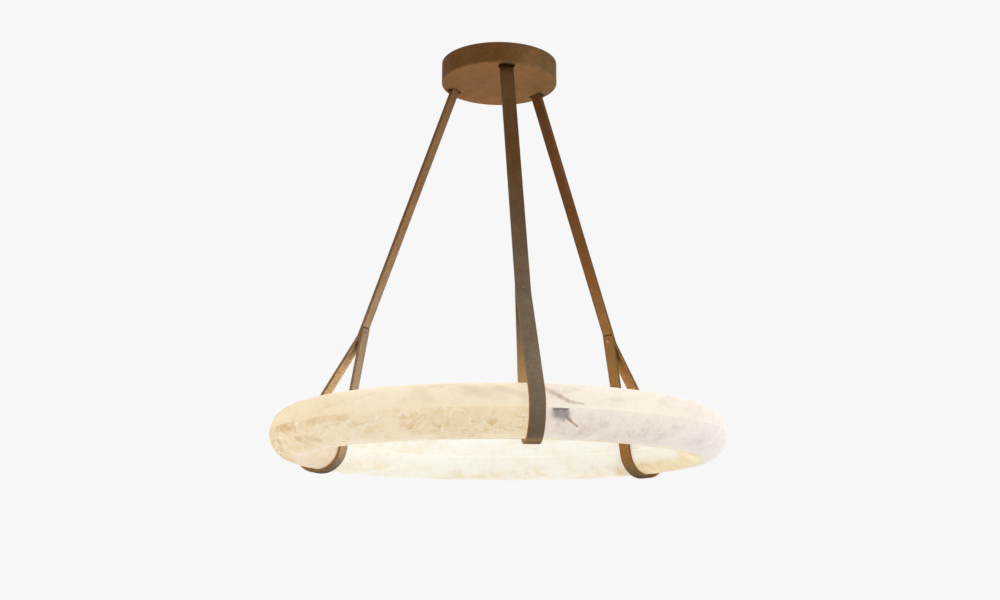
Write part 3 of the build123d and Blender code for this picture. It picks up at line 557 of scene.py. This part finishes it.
for material, nodes in (
        (zinc, ["strap_clevises", "clevis_rivets", "strap_pins", "pin_clips", "driver_screws",
                "terminal_screws", "lever_axle", "earth_screw", "joint_dowels"]),
        (sheet_zinc, ["ceiling_plate"]),
        (rolled, ["led_carrier"]),
        (led_jacket(), ["led_strip"]),
        (rivet_bronze, ["rivet_front", "rivet_right", "rivet_left"]),
        (liner, ["pad_front", "pad_right", "pad_left"]),
        (rubber, ["cable_bushing", "inlet_gland"]),
        (white_case, ["led_driver", "carrier_clips"]),
        (grey_case, ["driver_covers", "terminal_block"]),
        (lever_orange, ["lever_live", "lever_neutral", "lever_earth"])):
    for node in nodes:
        wear(node, material)


# Studio: pale floor, even surroundings, one broad light from the right, a weaker one from the left,
# and a warm one that stands for the light that the ring throws up at the metalwork

FLOOR_Z = -2.6
FLOOR_HALF = 9.0
FLOOR_FADE = (2.2, 7.5)             # distances between which the floor fades into the background
BACKGROUND = srgb("#f7f7f7")
LAMP_MIDDLE = (0, 0, -0.4)


def seen_rays(nodes, links):
    """1 for what is seen, straight, in a reflection or through glass, and 0 for light on the lamp."""
    ray = nodes.new("ShaderNodeLightPath")
    either = ray.outputs["Is Camera Ray"]
    for kind in ("Is Glossy Ray", "Is Transmission Ray"):
        widest = nodes.new("ShaderNodeMath")
        widest.operation = "MAXIMUM"
        links.new(either, widest.inputs[0])
        links.new(ray.outputs[kind], widest.inputs[1])
        either = widest.outputs[0]
    return either


def floor_paint():
    """Pale paint that fades into the background far from the lamp."""
    t = Tree("floor_paint")
    place = t.place()
    tone = t.step(t.noise(place, scale=3.0, detail=5.0), 0.3, 0.7)
    paint = t.mix(tone, *tones("#f2f2f1", "#f5f5f4"))
    far = t.step(t.vector("LENGTH", place, (0.0, 0.0, 0.0), result="Value"), *FLOOR_FADE)
    looked_at = seen_rays(t.nodes, t.links)
    return t.set(Base_Color=t.mix(far, paint, BLACK), Roughness=0.9, Specular_IOR_Level=0.0,
                 Emission_Color=t.mix(far, paint, BACKGROUND),
                 Emission_Strength=t.times(looked_at, t.step(far, 0.0, 1.0, 0.62, 1.0)))


def studio_sky():
    """Plain background for the camera, with a weaker and warmer light on the lamp."""
    world = bpy.data.worlds.new("studio")
    world.use_nodes = True
    nodes = world.node_tree.nodes
    links = world.node_tree.links
    ambient = nodes["Background"]
    ambient.inputs["Color"].default_value = srgb("#f8f6f3")
    ambient.inputs["Strength"].default_value = 0.30
    seen = nodes.new("ShaderNodeBackground")
    seen.inputs["Color"].default_value = BACKGROUND
    choice = nodes.new("ShaderNodeMixShader")
    links.new(seen_rays(nodes, links), choice.inputs[0])
    links.new(ambient.outputs[0], choice.inputs[1])
    links.new(seen.outputs[0], choice.inputs[2])
    links.new(choice.outputs[0], nodes["World Output"].inputs["Surface"])
    return world


def area_light(name, place, target, size, power, colour, shape="SQUARE"):
    data = bpy.data.lights.new(name, "AREA")
    data.shape = shape
    data.size = size
    data.energy = power
    data.color = colour[:3]
    light = bpy.data.objects.new(name, data)
    bpy.context.scene.collection.objects.link(light)
    light.location = place
    light.rotation_euler = (Vector(target) - Vector(place)).to_track_quat("-Z", "Y").to_euler()
    light.visible_camera = False
    return light


floor_mesh = bpy.data.meshes.new("floor")
corners = [(x * FLOOR_HALF, y * FLOOR_HALF, FLOOR_Z) for x, y in ((-1, -1), (1, -1), (1, 1), (-1, 1))]
floor_mesh.from_pydata(corners, [], [(0, 1, 2, 3)])
floor_mesh.materials.append(floor_paint())
floor = bpy.data.objects.new("floor", floor_mesh)
bpy.context.scene.collection.objects.link(floor)
bpy.context.scene.world = studio_sky()

area_light("key", (2.4, -1.6, 0.3), LAMP_MIDDLE, size=1.6, power=14.0, colour=srgb("#fbfdff"))
area_light("fill", (-2.8, -0.8, 0.2), LAMP_MIDDLE, size=1.8, power=5.0, colour=srgb("#fff2e0"))
uplight = area_light("ring_uplight", (0, 0, -0.762), (0, 0, 0), size=0.5, power=3.0, colour=srgb("#ffe9c2"),
                     shape="DISK")
metalwork = bpy.data.collections.new("metalwork")
for node in ("canopy_cup", "strap_front", "strap_right", "strap_left",
             "rivet_front", "rivet_right", "rivet_left"):
    metalwork.objects.link(parts[node])
uplight.light_linking.receiver_collection = metalwork


# Camera at the photograph's viewing angle

CAMERA_PLACE = Vector((-0.3400, -2.3439, -0.9837))
CAMERA_YAW = math.radians(8.317)        # to the right of straight back
CAMERA_PITCH = math.radians(12.606)     # upwards
CAMERA_ROLL = math.radians(0.146)
CAMERA_LENS = 48.277                    # in millimetres, for a sensor of the width below
SENSOR_WIDTH = 36.0

forward = Vector((math.sin(CAMERA_YAW) * math.cos(CAMERA_PITCH),
                  math.cos(CAMERA_YAW) * math.cos(CAMERA_PITCH),
                  math.sin(CAMERA_PITCH)))
level_right = Vector((math.cos(CAMERA_YAW), -math.sin(CAMERA_YAW), 0.0))
level_up = level_right.cross(forward)
right = level_right * math.cos(CAMERA_ROLL) + level_up * math.sin(CAMERA_ROLL)
top = right.cross(forward)
camera_data = bpy.data.cameras.new("camera")
camera_data.lens = CAMERA_LENS
camera_data.sensor_width = SENSOR_WIDTH
camera_data.sensor_fit = "HORIZONTAL"
camera_data.clip_start = 0.01
camera = bpy.data.objects.new("camera", camera_data)
bpy.context.scene.collection.objects.link(camera)
facing = Matrix((right, top, -forward)).transposed()
camera.matrix_world = Matrix.Translation(CAMERA_PLACE) @ facing.to_4x4()
bpy.context.scene.camera = camera
bpy.context.scene.view_settings.view_transform = "Standard"
